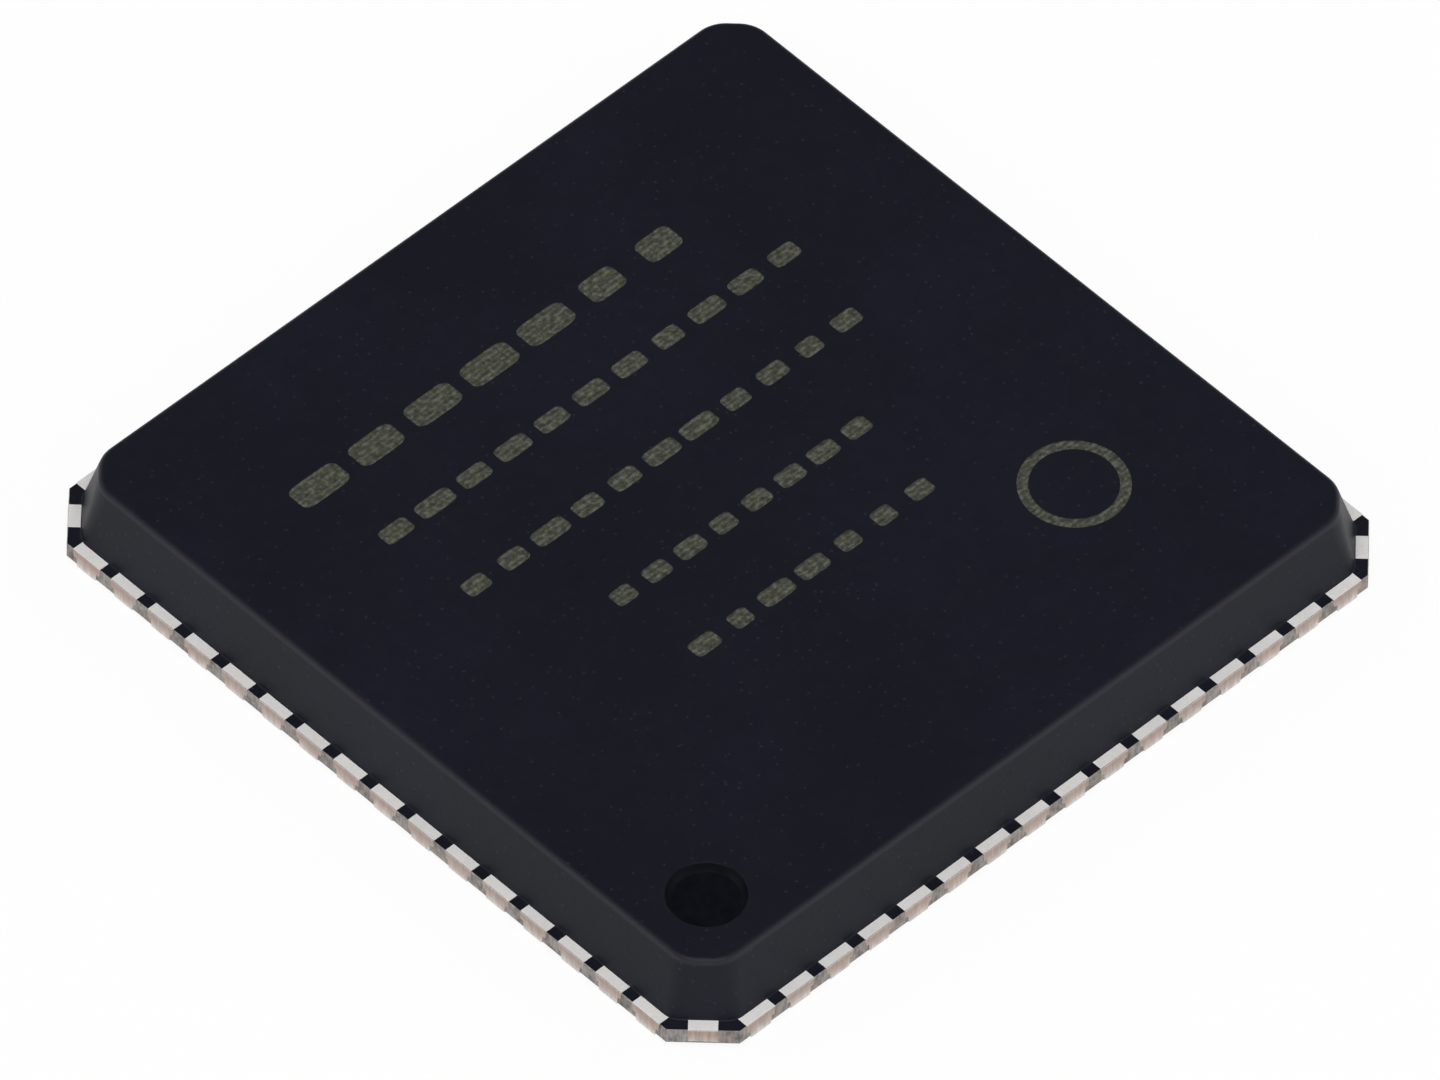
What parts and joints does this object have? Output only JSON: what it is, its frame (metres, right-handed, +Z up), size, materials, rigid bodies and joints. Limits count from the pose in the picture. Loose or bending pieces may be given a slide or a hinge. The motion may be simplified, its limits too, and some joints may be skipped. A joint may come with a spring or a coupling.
{
  "type": "controller chip in a quad flat no-lead package",
  "caption": "Square black moulded chip with drafted cap, pin-one dimple, tin-plated terminals flush along all sides and an exposed pad underneath.",
  "frame": {"origin": "centre of the underside, in the plane of the terminal lands and the exposed pad, which rests on the board", "axes": "+Z up out of the marked face; +X along the marking's reading direction; the pin-1 dimple is in the -X -Y corner"},
  "size_m": [0.009, 0.009, 0.0009],
  "materials": {
    "moulding_compound": "fine matte, spark-eroded mould texture",
    "tin_plated_copper": "matte tin plate, bare copper on the punched ends",
    "plated_copper_pad": "matte tin plate, bare copper on the punched tie bar ends",
    "silver_epoxy": "cured silver-filled adhesive, dull",
    "silicon": "polished silicon with a passivated face"
  },
  "bodies": {
    "root": {"mould_body": "moulding_compound", "die_paddle": "plated_copper_pad", "die_attach": "silver_epoxy", "die": "silicon", "terminal_02": "tin_plated_copper", "terminal_03": "tin_plated_copper", "terminal_04": "tin_plated_copper", "terminal_05": "tin_plated_copper", "terminal_06": "tin_plated_copper", "terminal_07": "tin_plated_copper", "terminal_08": "tin_plated_copper", "terminal_09": "tin_plated_copper", "terminal_10": "tin_plated_copper", "terminal_11": "tin_plated_copper", "terminal_12": "tin_plated_copper", "terminal_13": "tin_plated_copper", "terminal_14": "tin_plated_copper", "terminal_15": "tin_plated_copper", "terminal_18": "tin_plated_copper", "terminal_19": "tin_plated_copper", "terminal_20": "tin_plated_copper", "terminal_21": "tin_plated_copper", "terminal_22": "tin_plated_copper", "terminal_23": "tin_plated_copper", "terminal_24": "tin_plated_copper", "terminal_25": "tin_plated_copper", "terminal_26": "tin_plated_copper", "terminal_27": "tin_plated_copper", "terminal_28": "tin_plated_copper", "terminal_29": "tin_plated_copper", "terminal_30": "tin_plated_copper", "terminal_31": "tin_plated_copper", "terminal_34": "tin_plated_copper", "terminal_35": "tin_plated_copper", "terminal_36": "tin_plated_copper", "terminal_37": "tin_plated_copper", "terminal_38": "tin_plated_copper", "terminal_39": "tin_plated_copper", "terminal_40": "tin_plated_copper", "terminal_41": "tin_plated_copper", "terminal_42": "tin_plated_copper", "terminal_43": "tin_plated_copper", "terminal_44": "tin_plated_copper", "terminal_45": "tin_plated_copper", "terminal_46": "tin_plated_copper", "terminal_47": "tin_plated_copper", "terminal_50": "tin_plated_copper", "terminal_51": "tin_plated_copper", "terminal_52": "tin_plated_copper", "terminal_53": "tin_plated_copper", "terminal_54": "tin_plated_copper", "terminal_55": "tin_plated_copper", "terminal_56": "tin_plated_copper", "terminal_57": "tin_plated_copper", "terminal_58": "tin_plated_copper", "terminal_59": "tin_plated_copper", "terminal_60": "tin_plated_copper", "terminal_61": "tin_plated_copper", "terminal_62": "tin_plated_copper", "terminal_63": "tin_plated_copper"}
  },
  "joints": []
}
